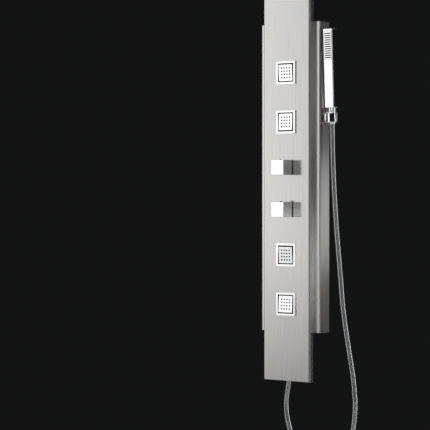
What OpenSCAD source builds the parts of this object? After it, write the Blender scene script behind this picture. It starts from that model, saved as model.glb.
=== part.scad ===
// Rainfall shower column. A narrow brushed steel panel stands on a wider wall housing and carries a
// thermostatic mixer, a diverter, four swivelling body jets, an overhead rain head on an arm, and a
// square stick hand shower in a side holder, fed by a metal hose that hangs in a loop below.
// Millimetres. The wall is the plane y = 0 and the column faces -Y, with +X to the right of someone who
// faces it and +Z up. The origin is on the wall, in the middle of the four fixing holes.

/* [Front panel] */
// Width of the front panel
panel_w = 150; // [120:1:190]
// How far the panel box stands in front of the housing
panel_depth = 18; // [16:0.5:24]
// How far the panel rises above the housing
panel_rise = 361; // [280:1:460]
// How far the panel hangs below the housing
panel_drop = 131; // [60:1:180]
// Thickness of the panel sheet
panel_t = 1.5; // [1:0.1:2]
// Outer radius of the panel's two long folds
panel_fold_r = 3; // [2:0.5:5]
// Width of the panel's turned-in back lips
panel_lip_w = 12; // [8:1:16]
// Thickness of the bead between panel and housing
trim_t = 1; // [0.6:0.1:2]
// How far the bead stands out beside the panel
trim_proud = 1.5; // [0.5:0.5:3]

/* [Rear housing] */
// Width of the housing's wing on each side of the panel
wing_w = 20; // [12:1:40]
// Height of the housing
housing_h = 828; // [790:1:1000]
// Depth of the housing, from the wall to its front
housing_d = 45; // [40:0.5:60]
// Thickness of the housing sheet
housing_t = 1.5; // [1:0.1:2]
// Width of the housing's turned-in back lips
housing_lip_w = 12; // [8:1:14]
// Width of the housing's front opening
opening_w = 112; // [106:1:116]
// Height left at each end of the housing's front opening
opening_end = 20; // [12:1:30]

/* [Wall fixing] */
// Distance between the two rows of fixing holes
fixing_pitch_z = 760; // [700:1:770]
// Distance between the two holes of a row
fixing_pitch_x = 100; // [60:1:120]
// Radius of a fixing hole
fixing_hole_r = 3.25; // [2:0.25:4]
// Thickness of the bracket strip
bracket_t = 2; // [1.5:0.25:3]
// Length of the bracket strip
bracket_w = 140; // [110:1:150]
// Height of the bracket strip
bracket_h = 36; // [30:1:44]
// Radius of the screws that lock the housing to the lower bracket
lock_screw_r = 2; // [1.5:0.25:2.5]

/* [Body jets] */
// Height of the middle of the controls and jets, from the origin
controls_z = -30; // [-40:1:-20]
// Height of the inner jets above and below the controls' middle
jet_inner = 178; // [160:1:200]
// Height of the outer jets above and below the controls' middle
jet_outer = 310; // [290:1:330]
// Side of the square jet frame
jet_side = 62; // [56:1:64]
// How far the jet frame stands out of the panel
jet_proud = 4; // [3.5:0.5:6]
// Side of the swivelling jet plate
jet_plate_side = 44; // [36:1:46]
// Thickness of the jet plate
jet_plate_t = 3; // [2.5:0.25:3.5]
// Gap around the jet plate
jet_gap = 3; // [1.5:0.1:3.2]
// Wall of the jet frame's rear tub
jet_wall = 1.5; // [1:0.25:2]
// Radius of the jet's ball
jet_ball_r = 6; // [5:0.25:7]
// Clearance of the jet's ball in its socket
jet_ball_gap = 0.08; // [0.05:0.01:0.1]
// Distance between neighbouring jet nozzles
jet_nozzle_pitch = 8.5; // [7:0.1:9]
// Radius of a jet nozzle
jet_nozzle_r = 2.2; // [0.8:0.1:2.4]
// Nozzles along each side of a jet plate
jet_nozzle_rows = 4; // [3:1:4]

/* [Knobs and valves] */
// Distance between the two knobs
knob_pitch = 112; // [100:1:130]
// Side of the square knob
knob_side = 40; // [36:1:46]
// Depth of the knob
knob_depth = 38.9; // [34:0.1:46]
// Gap between the knob and the panel
knob_gap = 2.5; // [2.2:0.1:4]
// Wall of the hollow knob
knob_wall = 3; // [2:0.25:4]
// Radius of the valve spindles
spindle_r = 4; // [3:0.25:5]
// Running clearance of a spindle or a button in its bore
running_gap = 0.05; // [0.02:0.01:0.1]
// Radius of the cartridge body
cartridge_r = 15; // [14:0.25:16]
// Radius of the cartridge's neck, which passes through the panel
neck_r = 11; // [10:0.25:12]
// Radius of the safety stop button
stop_r = 5; // [3.5:0.25:6]
// How far the stop button stands out
stop_proud = 3.5; // [2.5:0.25:5]
// Travel of the stop button
stop_travel = 2; // [1:0.25:2]

/* [Water ways] */
// Outer radius of the inner pipes
pipe_r = 4.5; // [4:0.25:4.5]
// Wall of the inner pipes
pipe_wall = 1; // [0.5:0.25:1.5]
// Outer radius of the pipe threads of the inlets and outlets
thread_r = 10.45; // [9:0.05:10.5]
// Distance of each inlet from the middle
inlet_x = 45; // [38:1:48]
// Length of an inlet's thread
inlet_len = 14; // [10:1:18]

/* [Rain head] */
// Distance of the rain head's middle from the wall
head_reach = 330; // [280:1:400]
// How far the arm's axis lies below the panel's top
arm_drop = 60; // [40:1:90]
// Width of the arm
arm_w = 32; // [26:1:40]
// Height of the arm
arm_h = 14; // [12:1:18]
// Side of the square rain head
head_side = 200; // [170:1:260]
// Thickness of the rain head at its rim
head_t = 10; // [9:0.5:14]
// Distance between neighbouring rain nozzles
head_nozzle_pitch = 18; // [15:1:20]
// Rain nozzles along each side
head_nozzle_rows = 10; // [6:1:10]
// Radius of the head's ball
head_ball_r = 10; // [8:0.25:10]

/* [Hand shower] */
// Gap between the housing's side and the holder ring
holder_gap = 6.7; // [5:0.1:12]
// Height of the holder's middle
holder_z = 158.5; // [120:0.5:200]
// Outer radius of the holder ring
holder_r = 17.3; // [16:0.1:20]
// Height of the holder ring
holder_h = 28; // [22:1:32]
// Forward lean of the hand shower, in degrees
handset_lean = 2.6; // [1:0.2:6]
// Width of the hand shower's square stick
handset_w = 28; // [24:0.5:32]
// Depth of the hand shower's stick
handset_d = 25; // [22:0.5:26]
// Length of the hand shower's stick
handset_len = 208; // [190:1:240]
// Nozzle rows of the hand shower
handset_rows = 12; // [8:1:12]
// Distance between the nozzle rows
handset_pitch = 5.8; // [5:0.1:6]
// Width of a nozzle row
handset_row_w = 18.6; // [14:0.2:19]
// Outer radius of the hose
hose_r = 7; // [6:0.5:7]

/* [Hidden] */
$fn = 48;
cut = 0.5;  // how far a cutting shape runs past the face that it cuts
hole_gap = 0.2;  // radial room round what passes through a sheet
seat_gap = 0.05;  // radial room of a part that is pressed or screwed in
jet_rest_tilt = [3, -2, 4, -3];  // how each jet plate is left set, in degrees, from the top jet down

// Main planes
housing_w = panel_w + 2 * wing_w;
housing_front = -housing_d;
panel_back = housing_front - trim_t;
panel_front = panel_back - panel_depth;
panel_top = housing_h / 2 + panel_rise;
panel_bottom = -housing_h / 2 - panel_drop;
panel_h = panel_top - panel_bottom;
lock_x = bracket_w / 2 - 11;
lock_y = 6;
foot_d = lock_y + 4;
lock_head_r = 1.9 * lock_screw_r;
lock_head_h = 1.6;
lock_screw_end = 3;  // how far the locking screws reach past the bracket's foot
hook_h = 8;  // height of the upper bracket's hook, and of the plate's step below it
hook_room = 3;  // free height above the hook

// Jets, in a frame whose z runs out of the panel from its front face
jet_z = [controls_z + jet_outer, controls_z + jet_inner, controls_z - jet_inner, controls_z - jet_outer];
jet_inside = jet_plate_side + 2 * jet_gap;
jet_tub = jet_inside + 2 * jet_wall;
jet_hole = jet_tub + 0.4;
jet_ball_out = -2;
jet_floor = -4;
jet_tub_back = jet_floor - jet_wall;
jet_stub_back = -20;
jet_stub = 24;
jet_stub_end = 4;  // thickness of the stub's closed end
jet_way_r = 2;  // water way through the ball
jet_nozzle_in = 2;
jet_nozzle_out = 0.6;
retainer_t = 2;
retainer_in = 0.5;  // how far the retainer's edge lies inside the frame's
jet_collar_top = -0.5;
jet_collar_r = jet_ball_r + 2;
jet_face = jet_proud + 0.5;
jet_neck_r = 4;

// Valves, in the same kind of frame
diverter_z = controls_z + knob_pitch / 2;
mixer_z = controls_z - knob_pitch / 2;
valve_axis = -36;
boss_r = cartridge_r + 5;
boss_gap = 0.1;
neck_out = 2;
collar_r = neck_r + 4.5;
index_x = knob_side / 2 + 2;
index_r = 1.2;
index_proud = 0.8;
knob_front = knob_gap + knob_depth;
hub_r = spindle_r + 4;
hub_bore_r = spindle_r + 0.02;
spindle_out = knob_front - 7;
spindle_in = -26;
screw_back = 15;  // how far the knobs' screws and button lie behind the knob's front
screw_r = 2;
spring_len = 7;
spring_r = 3;
spring_bore_r = 2;
diverter_screw_out = 2.5;
mixer_screw_out = 0.8;
mixer_bar_r = cartridge_r + 2;
mixer_bar_w = opening_w - 4;
mixer_bore_r = 10;
boss_len = mixer_bar_r + 3;
diverter_side = 46;
diverter_d = 34;
link_r = 7.5;
link_wall = 2;
inlet_bore_r = 7;
inlet_hex_h = 3;
mixer_end = 4;  // thickness of the mixer bar's closed ends

// Pipes: the plane in which they run inside the panel, and their distances from the middle
pipe_y = panel_front + 10.5;
riser_x = opening_w / 2 - 8;
rail_x = -riser_x;
hand_pipe_x = riser_x - 2 * pipe_r - 1;
side_port_y = panel_front + 26;
port_shift = 12;  // how far the riser's and the hand shower's ports are from the middle
pipe_y_out = panel_front - pipe_y;
side_port_out = panel_front - side_port_y;
pipe_bore_r = pipe_r - pipe_wall;
arm_z = panel_top - arm_drop;
outlet_x = -20;
outlet_y = -22;
housing_bottom = -housing_h / 2;
hand_turn_z = housing_bottom + 36;
outlet_shank_top = housing_bottom + 12;
outlet_flange_t = 3;
outlet_hole_gap = 0.55;
outlet_flange_r = thread_r + 4.5;
outlet_thread_end = housing_bottom - 18;
nut_top = housing_bottom - 6;
nut_bottom = housing_bottom - 32;
nut_cone_h = 12;
hose_bore_r = 5;  // water way at the hose's ends

// Rain head, downwards from the arm
flange_t = 4;
shank_r = 10;
arm_inner = panel_front + 13;  // the arm's shank ends here, behind the panel sheet
arm_bottom = arm_z - arm_h / 2;
arm_bore_r = 4;
arm_plate_w = 60;
arm_plate_h = 40;
arm_nut_r = shank_r + 4;
arm_nut_h = 3.5;
neck_foot_h = 3;
neck_bore_r = 3.5;
head_nozzle_r = 1.6;
nipple_bottom = arm_bottom - 10;
ball_z = nipple_bottom - head_ball_r - 2;
ball_gap = 0.08;
ball_nut_r = head_ball_r + 4.5;
ball_nut_lip = ball_z - 0.6 * head_ball_r;
head_top = ball_z - head_ball_r - 8;
head_boss_top = head_top + 6;
head_boss_r = head_ball_r + 4;
head_neck_r = 0.55 * head_ball_r;
head_sheet = 1.5;
head_plate_t = 2;
head_bottom = head_top - head_t;
nozzle_out = 1.4;

// Hand shower, in a frame that leans with it, whose z runs up its axis from the holder's middle
holder_x = housing_w / 2 + holder_gap + holder_r;
holder_y = -22;
nut_low = -18.2;
nut_high = 25.9;
nut_low_r = 8;
nut_high_r = 10.5;
holder_clearance = 0.3;
holder_boss_r = 14;
holder_screw_r = 2.5;
holder_screw_head_r = 5;
holder_screw_head_h = 2.5;
slot_w = 15.5;
handset_wall = 2.5;
handset_thread_r = 8.4;
handset_thread_end = 8;  // height at which the hand shower's thread ends inside the nut
handset_floor = 4;
face_w = 22;
face_t = 2;
row_h = 3;
row_proud = 0.5;
face_margin = 6;
face_len = (handset_rows - 1) * handset_pitch + 2 * face_margin;
face_top = nut_high + handset_len - face_margin;
face_mid = face_top - face_len / 2;

// The hose's route, from the outlet under the housing to the hand shower's nut
hose_route = [
  [-20, -22, -446], [-20, -22, -490], [-20, -22, -530], [-24, -22, -564], [-30, -22, -602],
  [-29, -22, -636], [-21, -22, -670], [-8, -22, -704], [9, -22, -743], [31, -22, -782],
  [58, -22, -810], [90, -22, -821], [122, -21, -808], [147, -21, -777], [164, -20, -740],
  [176, -20, -700], [185, -19, -655], [189, -18, -605], [187, -18, -570], [182, -17, -530],
  [173, -17, -480], [163, -16, -430], [154, -16, -378], [147, -16, -325], [142, -16, -270],
  [136, -16, -210], [130, -16, -150], [125, -16, -85], [121, -17, -15], [119, -19, 60],
  [119, -20.5, 110], [119, -21.2, 140]
];
hose_sides = 10;
hose_steps = 2;

// ---- shared shapes ----

// A frame on the panel's front: z runs out towards the user and y runs up
module facing(x, z) {
  translate([x, panel_front, z]) rotate([90, 0, 0]) children();
}

// The hand shower's leaning frame
module leaning() {
  translate([holder_x, holder_y, holder_z]) rotate([handset_lean, 0, 0]) children();
}

// A box given by its two corners
module block(low, high) {
  translate(low) cube(high - low);
}

// A round bar between two points along x
module bar_x(r, x0, x1) {
  translate([x0, 0, 0]) rotate([0, 90, 0]) cylinder(r = r, h = x1 - x0);
}

// A round bar along y
module bar_y(r, y0, y1) {
  translate([0, y1, 0]) rotate([90, 0, 0]) cylinder(r = r, h = y1 - y0);
}

// A round bar along z
module bar_z(r, z0, z1) {
  translate([0, 0, z0]) cylinder(r = r, h = z1 - z0);
}

// A straight round bar from one point to another, along one axis
module leg(a, b, r) {
  d = b - a;
  translate(a)
    rotate(d[0] != 0 ? [0, sign(d[0]) * 90, 0]
           : d[1] != 0 ? [-sign(d[1]) * 90, 0, 0]
           : [d[2] > 0 ? 0 : 180, 0, 0])
      cylinder(r = r, h = norm(d));
}

// A bent rod through points that differ along one axis at a time
module rod(points, r) {
  for (i = [0 : len(points) - 2]) leg(points[i], points[i + 1], r);
  for (i = [1 : len(points) - 2]) translate(points[i]) sphere(r = r);
}

// A bent pipe
module pipe(points) {
  difference() {
    rod(points, pipe_r);
    rod(points, pipe_bore_r);
  }
}

// ---- panel and housing ----

// The outline of the folded panel seen from above, with two round front edges
module panel_outline(inset) {
  half = panel_w / 2 - inset;
  r = panel_fold_r - min(inset, panel_fold_r - 0.5);
  front = panel_front + inset;
  translate([-half, front + r]) square([2 * half, panel_back - front - r]);
  translate([-half + r, front]) square([2 * (half - r), r + cut]);
  for (x = [-half + r, half - r]) translate([x, front + r]) circle(r = r);
}

module front_panel() {
  color("lightgray")
    difference() {
      translate([0, 0, panel_bottom]) linear_extrude(panel_h) panel_outline(0);
      translate([0, 0, panel_bottom + panel_t]) linear_extrude(panel_h - 2 * panel_t)
        intersection() {
          panel_outline(panel_t);
          translate([-panel_w, panel_front]) square([2 * panel_w, panel_depth - panel_t]);
        }
      block([-panel_w / 2 + panel_lip_w, panel_back - panel_t - cut, panel_bottom + panel_lip_w],
            [panel_w / 2 - panel_lip_w, panel_back + cut, panel_top - panel_lip_w]);
      for (z = jet_z)
        facing(0, z) block([-jet_hole / 2, -jet_hole / 2, -panel_t - cut], [jet_hole / 2, jet_hole / 2, cut]);
      for (z = [diverter_z, mixer_z]) facing(0, z) bar_z(neck_r + hole_gap, -panel_t - cut, cut);
      facing(0, arm_z) bar_z(shank_r + hole_gap, -panel_t - cut, cut);
      facing(index_x, mixer_z) bar_z(index_r, -panel_t - cut, cut);
    }
}

module panel_trim() {
  edge = panel_w / 2 + trim_proud;
  color("silver")
    difference() {
      block([-edge, panel_back, -housing_h / 2], [edge, housing_front, housing_h / 2]);
      block([-opening_w / 2, panel_back - cut, -housing_h / 2 + opening_end],
            [opening_w / 2, housing_front + cut, housing_h / 2 - opening_end]);
    }
}

module back_covers() {
  half = panel_w / 2 - panel_t - 0.3;
  back = panel_back - panel_t;
  color("gray") {
    block([-half, back - 1, housing_h / 2 - opening_end], [half, back, panel_top - panel_t]);
    block([-half, back - 1, panel_bottom + panel_t], [half, back, -housing_h / 2 + opening_end]);
  }
}

module rear_housing() {
  w = housing_w / 2;
  h = housing_h / 2;
  color("silver")
    difference() {
      block([-w, housing_front, -h], [w, 0, h]);
      block([-w + housing_t, housing_front + housing_t, -h + housing_t],
            [w - housing_t, -housing_t, h - housing_t]);
      block([-w + housing_lip_w, -housing_t - cut, -h + housing_t], [w - housing_lip_w, cut, h - housing_t]);
      block([-opening_w / 2, housing_front - cut, -h + opening_end],
            [opening_w / 2, housing_front + housing_t + cut, h - opening_end]);
      translate([outlet_x, outlet_y, 0]) bar_z(thread_r + outlet_hole_gap, -h - cut, -h + housing_t + cut);
      translate([0, holder_y, holder_z]) bar_x(holder_screw_r + 3 * hole_gap, w - housing_t - cut, w + cut);
      for (x = [-1, 1])
        translate([x * lock_x, -lock_y, 0]) bar_z(lock_screw_r + hole_gap, -h - cut, -h + housing_t + cut);
    }
}

// ---- wall fixing ----

module fixing_holes(z) {
  for (x = [-1, 1]) translate([x * fixing_pitch_x / 2, 0, z]) bar_y(fixing_hole_r, -bracket_t - cut, cut);
}

module wall_bracket_upper() {
  z = fixing_pitch_z / 2;
  half = bracket_w / 2;
  plate_top = z + bracket_h / 2 - hook_h;
  hook_top = housing_h / 2 - housing_t - hook_room;
  color("dimgray")
    difference() {
      union() {
        block([-half, -bracket_t, z - bracket_h / 2], [half, 0, plate_top]);
        block([-half, -3 * bracket_t, z + hook_h], [half, -bracket_t, plate_top]);
        block([-half, -3 * bracket_t, z + hook_h], [half, -2 * bracket_t, hook_top]);
      }
      fixing_holes(z);
    }
}

// The rail inside the housing that drops behind the upper bracket's hook
module hanger_rail() {
  inside = housing_w / 2 - housing_t;
  z = fixing_pitch_z / 2 + bracket_h / 2 - hook_h;
  color("dimgray") block([-inside, -2 * bracket_t, z], [inside, -bracket_t, housing_h / 2 - housing_t]);
}

module wall_bracket_lower() {
  z = -fixing_pitch_z / 2;
  foot = -housing_h / 2 + housing_t;
  color("dimgray")
    difference() {
      union() {
        block([-bracket_w / 2, -bracket_t, foot], [bracket_w / 2, 0, z + bracket_h / 2]);
        block([-bracket_w / 2, -foot_d, foot], [bracket_w / 2, -bracket_t, foot + bracket_t]);
      }
      fixing_holes(z);
      for (x = [-1, 1])
        translate([x * lock_x, -lock_y, 0]) bar_z(lock_screw_r, foot - cut, foot + bracket_t + cut);
    }
}

module fixing_screws() {
  top = -housing_h / 2 + housing_t + bracket_t + lock_screw_end;
  color("silver")
    for (x = [-1, 1])
      translate([x * lock_x, -lock_y, 0]) {
        bar_z(lock_screw_r, -housing_h / 2, top);
        bar_z(lock_head_r, -housing_h / 2 - lock_head_h, -housing_h / 2);
      }
}

// ---- body jets ----

module jet_bezel(z) {
  half = jet_inside / 2;
  color("gainsboro")
    facing(0, z)
      difference() {
        union() {
          difference() {
            union() {
              block([-jet_side / 2, -jet_side / 2, 0], [jet_side / 2, jet_side / 2, jet_proud]);
              block([-jet_tub / 2, -jet_tub / 2, jet_tub_back], [jet_tub / 2, jet_tub / 2, 0]);
            }
            block([-half, -half, jet_floor], [half, half, jet_proud + cut]);
          }
          bar_z(jet_collar_r, jet_floor, jet_collar_top);
          block([-jet_stub / 2, -jet_stub / 2, jet_stub_back], [jet_stub / 2, jet_stub / 2, jet_tub_back]);
        }
        translate([0, 0, jet_ball_out]) sphere(r = jet_ball_r + jet_ball_gap);
        bar_z(pipe_bore_r, jet_stub_back + jet_stub_end, jet_ball_out);
        translate([0, 0, pipe_y_out]) bar_x(pipe_bore_r, -jet_stub / 2 - cut, 0);
      }
}

// What turns with a jet plate is set at the angle it is left at
module jet_tilted(i) {
  facing(0, jet_z[i])
    translate([0, 0, jet_ball_out])
      rotate([jet_rest_tilt[i], 0, 0]) translate([0, 0, -jet_ball_out]) children();
}

module jet_nozzle_places() {
  first = -(jet_nozzle_rows - 1) / 2;
  for (i = [0 : jet_nozzle_rows - 1], j = [0 : jet_nozzle_rows - 1])
    translate([(first + i) * jet_nozzle_pitch, (first + j) * jet_nozzle_pitch, 0]) children();
}

module jet_plate(i) {
  half = jet_plate_side / 2;
  color("white")
    jet_tilted(i)
      difference() {
        union() {
          block([-half, -half, jet_face - jet_plate_t], [half, half, jet_face]);
          bar_z(jet_neck_r, jet_ball_out, jet_face - jet_plate_t);
          translate([0, 0, jet_ball_out]) sphere(r = jet_ball_r);
        }
        bar_z(jet_way_r, jet_ball_out - jet_ball_r - cut, jet_face - jet_plate_t);
        jet_nozzle_places() bar_z(jet_nozzle_r, jet_face - jet_nozzle_in, jet_face + cut);
      }
}

module jet_nozzles(i) {
  color("dimgray")
    jet_tilted(i)
      jet_nozzle_places() bar_z(jet_nozzle_r, jet_face - jet_nozzle_in, jet_face + jet_nozzle_out);
}

module jet_retainers() {
  outer = jet_side / 2 - retainer_in;
  back = -panel_t - retainer_t;
  inner = jet_hole / 2;
  color("dimgray")
    for (z = jet_z)
      facing(0, z)
        difference() {
          block([-outer, -outer, back], [outer, outer, -panel_t]);
          block([-inner, -inner, back - cut], [inner, inner, -panel_t + cut]);
        }
}

// ---- knobs and valves ----

module knob_shell(z) {
  half = knob_side / 2;
  inner = half - knob_wall;
  facing(0, z)
    difference() {
      block([-half, -half, knob_gap], [half, half, knob_front]);
      difference() {
        block([-inner, -inner, knob_gap - cut], [inner, inner, knob_front - knob_wall]);
        bar_z(hub_r, knob_gap, knob_front);
      }
      bar_z(hub_bore_r, knob_gap - cut, spindle_out);
    }
}

// A hole or a screw that runs from the hub through a knob's wall; side is 1 for the top, -1 for the underside
module knob_cross(z, side, r, from, to) {
  facing(0, z)
    translate([0, 0, knob_front - screw_back])
      if (side > 0) bar_y(r, from, to);
      else bar_y(r, -to, -from);
}

module diverter_knob() {
  color("white")
    difference() {
      knob_shell(diverter_z);
      knob_cross(diverter_z, 1, screw_r + seat_gap, spindle_r, knob_side);
    }
}

module thermostat_knob() {
  color("white")
    difference() {
      knob_shell(mixer_z);
      knob_cross(mixer_z, -1, screw_r + seat_gap, spindle_r, knob_side);
      knob_cross(mixer_z, 1, stop_r + running_gap, hub_r + stop_travel + 2, knob_side);
    }
}

module diverter_screw() {
  color("dimgray")
    knob_cross(diverter_z, 1, screw_r, spindle_r + seat_gap, knob_side / 2 + diverter_screw_out);
}

module thermostat_screw() {
  color("dimgray") knob_cross(mixer_z, -1, screw_r, spindle_r + seat_gap, knob_side / 2 + mixer_screw_out);
}

module stop_button() {
  color("gray") knob_cross(mixer_z, 1, stop_r, hub_r + spring_len, knob_side / 2 + stop_proud);
}

module stop_spring() {
  color("gray")
    difference() {
      knob_cross(mixer_z, 1, spring_r, hub_r, hub_r + spring_len);
      knob_cross(mixer_z, 1, spring_bore_r, hub_r - cut, hub_r + spring_len + cut);
    }
}

module spindle(z) {
  color("goldenrod") facing(0, z) bar_z(spindle_r, spindle_in, spindle_out);
}

module cartridge(z) {
  color("khaki")
    facing(0, z)
      difference() {
        union() {
          bar_z(cartridge_r - boss_gap, valve_axis, -panel_t);
          bar_z(neck_r, -panel_t, neck_out);
        }
        bar_z(spindle_r + running_gap, spindle_in, neck_out + cut);
      }
}

module collar_rings() {
  color("gainsboro")
    for (z = [diverter_z, mixer_z])
      facing(0, z)
        difference() {
          bar_z(collar_r, 0, neck_out);
          bar_z(neck_r + seat_gap, -cut, neck_out + cut);
        }
}

module temperature_index() {
  color("gainsboro") facing(index_x, mixer_z) bar_z(index_r, -panel_t, index_proud);
}

module thermostat_body() {
  color("goldenrod")
    facing(0, mixer_z)
      difference() {
        union() {
          translate([0, 0, valve_axis]) bar_x(mixer_bar_r, -mixer_bar_w / 2, mixer_bar_w / 2);
          bar_z(boss_r, valve_axis, -panel_t);
          translate([0, 0, valve_axis]) bar_y(link_r + 2.5, 0, boss_len);
          for (x = [-inlet_x, inlet_x]) translate([x, 0, valve_axis]) bar_y(thread_r + 1.5, -boss_len, 0);
        }
        bar_z(cartridge_r, valve_axis, -panel_t + cut);
        translate([0, 0, valve_axis])
          bar_x(mixer_bore_r, -mixer_bar_w / 2 + mixer_end, mixer_bar_w / 2 - mixer_end);
        translate([0, 0, valve_axis]) bar_y(link_r - link_wall, 0, boss_len + cut);
        for (x = [-inlet_x, inlet_x]) translate([x, 0, valve_axis]) bar_y(inlet_bore_r, -boss_len - cut, 0);
      }
}

module diverter_body() {
  half = diverter_side / 2;
  color("goldenrod")
    facing(0, diverter_z)
      difference() {
        union() {
          block([-half, -half, valve_axis - diverter_d / 2], [half, half, valve_axis + diverter_d / 2]);
          bar_z(boss_r, valve_axis, -panel_t);
        }
        bar_z(cartridge_r, valve_axis, -panel_t + cut);
        translate([0, 0, valve_axis]) bar_y(link_r - link_wall, -half - cut, 0);
        for (y = [-port_shift, port_shift])
          translate([0, y, side_port_out]) bar_x(pipe_bore_r, 0, half + cut);
        translate([0, 0, side_port_out]) bar_x(pipe_bore_r, -half - cut, 0);
      }
}

// ---- water ways ----

module inlet_nipples() {
  color("goldenrod")
    facing(0, mixer_z)
      for (x = [-inlet_x, inlet_x])
        translate([x, -boss_len, valve_axis])
          difference() {
            union() {
              bar_y(thread_r, -inlet_hex_h - inlet_len, -inlet_hex_h);
              rotate([90, 0, 0]) cylinder(r = thread_r + 3, h = inlet_hex_h, $fn = 6);
            }
            bar_y(inlet_bore_r, -inlet_hex_h - inlet_len - cut, cut);
          }
}

module link_pipe() {
  y = panel_front - valve_axis;
  color("peru")
    translate([0, y, 0])
      difference() {
        bar_z(link_r, mixer_z + boss_len, diverter_z - diverter_side / 2);
        bar_z(link_r - link_wall, mixer_z + boss_len - cut, diverter_z - diverter_side / 2 + cut);
      }
}

module riser_pipe() {
  z = diverter_z + port_shift;
  start = diverter_side / 2;
  color("peru")
    pipe([[start, side_port_y, z], [riser_x, side_port_y, z], [riser_x, pipe_y, z],
          [riser_x, pipe_y, arm_z], [shank_r + 2, pipe_y, arm_z]]);
}

module jet_rail() {
  route = [[-diverter_side / 2, side_port_y, diverter_z], [rail_x, side_port_y, diverter_z],
           [rail_x, pipe_y, diverter_z]];
  color("peru")
    difference() {
      union() {
        rod(route, pipe_r);
        leg([rail_x, pipe_y, jet_z[3]], [rail_x, pipe_y, jet_z[0]], pipe_r);
        for (z = jet_z) leg([rail_x, pipe_y, z], [-jet_stub / 2, pipe_y, z], pipe_r);
        for (z = [jet_z[0], jet_z[3], diverter_z]) translate([rail_x, pipe_y, z]) sphere(r = pipe_r);
      }
      rod(route, pipe_bore_r);
      leg([rail_x, pipe_y, jet_z[3]], [rail_x, pipe_y, jet_z[0]], pipe_bore_r);
      for (z = jet_z) leg([rail_x, pipe_y, z], [-jet_stub / 2 + cut, pipe_y, z], pipe_bore_r);
    }
}

module hand_pipe() {
  z = diverter_z - port_shift;
  start = diverter_side / 2;
  color("peru")
    pipe([[start, side_port_y, z], [hand_pipe_x, side_port_y, z], [hand_pipe_x, pipe_y, z],
          [hand_pipe_x, pipe_y, hand_turn_z], [outlet_x, pipe_y, hand_turn_z],
          [outlet_x, outlet_y, hand_turn_z], [outlet_x, outlet_y, outlet_shank_top]]);
}

module hose_outlet() {
  color("gainsboro")
    translate([outlet_x, outlet_y, 0])
      difference() {
        union() {
          bar_z(thread_r, outlet_thread_end, outlet_shank_top);
          bar_z(outlet_flange_r, housing_bottom - outlet_flange_t, housing_bottom);
        }
        bar_z(pipe_bore_r, outlet_thread_end - cut, outlet_shank_top + cut);
      }
}

module hose_nut_lower() {
  color("gainsboro")
    translate([outlet_x, outlet_y, 0])
      difference() {
        union() {
          translate([0, 0, nut_bottom + nut_cone_h])
            cylinder(r = thread_r + 2.6, h = nut_top - nut_bottom - nut_cone_h, $fn = 6);
          translate([0, 0, nut_bottom]) cylinder(r1 = hose_r + 1, r2 = thread_r + 0.7, h = nut_cone_h);
        }
        bar_z(thread_r, outlet_thread_end, nut_top + cut);
        bar_z(hose_bore_r, nut_bottom - cut, outlet_thread_end + cut);
      }
}

// A point on the smooth curve through the route
function between(p, i, t) =
  let (a = p[max(i - 1, 0)], b = p[i], c = p[i + 1], d = p[min(i + 2, len(p) - 1)])
  0.5 * (2 * b + (c - a) * t + (2 * a - 5 * b + 4 * c - d) * t * t + (3 * b - a - 3 * c + d) * t * t * t);

function unit(v) = v / norm(v);

module hose() {
  last = len(hose_route) - 1;
  line = [for (i = [0 : last - 1], k = [0 : hose_steps - 1]) between(hose_route, i, k / hose_steps),
          hose_route[last]];
  count = len(line);
  ways = [for (i = [0 : count - 1]) unit(line[min(i + 1, count - 1)] - line[max(i - 1, 0)])];
  rings = [for (i = [0 : count - 1], k = [0 : hose_sides - 1])
    let (side = unit(cross([0, 1, 0], ways[i])), up = cross(ways[i], side), a = 360 * k / hose_sides)
    line[i] + hose_r * (cos(a) * side + sin(a) * up)];
  walls = [for (i = [0 : count - 2], k = [0 : hose_sides - 1])
    let (a = i * hose_sides + k, b = i * hose_sides + (k + 1) % hose_sides)
    [a, a + hose_sides, b + hose_sides, b]];
  start = [for (k = [0 : hose_sides - 1]) k];
  end = [for (k = [hose_sides - 1 : -1 : 0]) (count - 1) * hose_sides + k];
  color("silver") polyhedron(points = rings, faces = concat(walls, [start], [end]));
}

// ---- hand shower ----

module hose_nut_upper() {
  color("gainsboro")
    leaning()
      difference() {
        translate([0, 0, nut_low]) cylinder(r1 = nut_low_r, r2 = nut_high_r, h = nut_high - nut_low);
        bar_z(handset_thread_r, handset_thread_end - 2, nut_high + cut);
        bar_z(hose_bore_r, nut_low - cut, handset_thread_end - 1);
      }
}

module handset_body() {
  w = handset_w / 2;
  d = handset_d / 2;
  top = nut_high + handset_len;
  color("white")
    leaning()
      difference() {
        union() {
          block([-w, -d, nut_high], [w, d, top]);
          bar_z(handset_thread_r, handset_thread_end, nut_high);
        }
        block([-w + handset_wall, -d + handset_wall, nut_high + handset_floor],
              [w - handset_wall, d - handset_wall, top - handset_wall]);
        block([-face_w / 2, -d - cut, face_mid - face_len / 2],
              [face_w / 2, -d + handset_wall + cut, face_mid + face_len / 2]);
        bar_z(hose_bore_r, handset_thread_end - cut, nut_high + handset_floor + 1);
      }
}

module handset_face() {
  color("white")
    leaning()
      block([-face_w / 2, -handset_d / 2, face_mid - face_len / 2],
            [face_w / 2, -handset_d / 2 + face_t, face_mid + face_len / 2]);
}

module handset_nozzles() {
  first = face_mid - (handset_rows - 1) / 2 * handset_pitch;
  front = -handset_d / 2;
  color("dimgray")
    leaning()
      for (i = [0 : handset_rows - 1])
        translate([0, 0, first + i * handset_pitch])
          block([-handset_row_w / 2, front - row_proud, -row_h / 2], [handset_row_w / 2, front, row_h / 2]);
}

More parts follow.
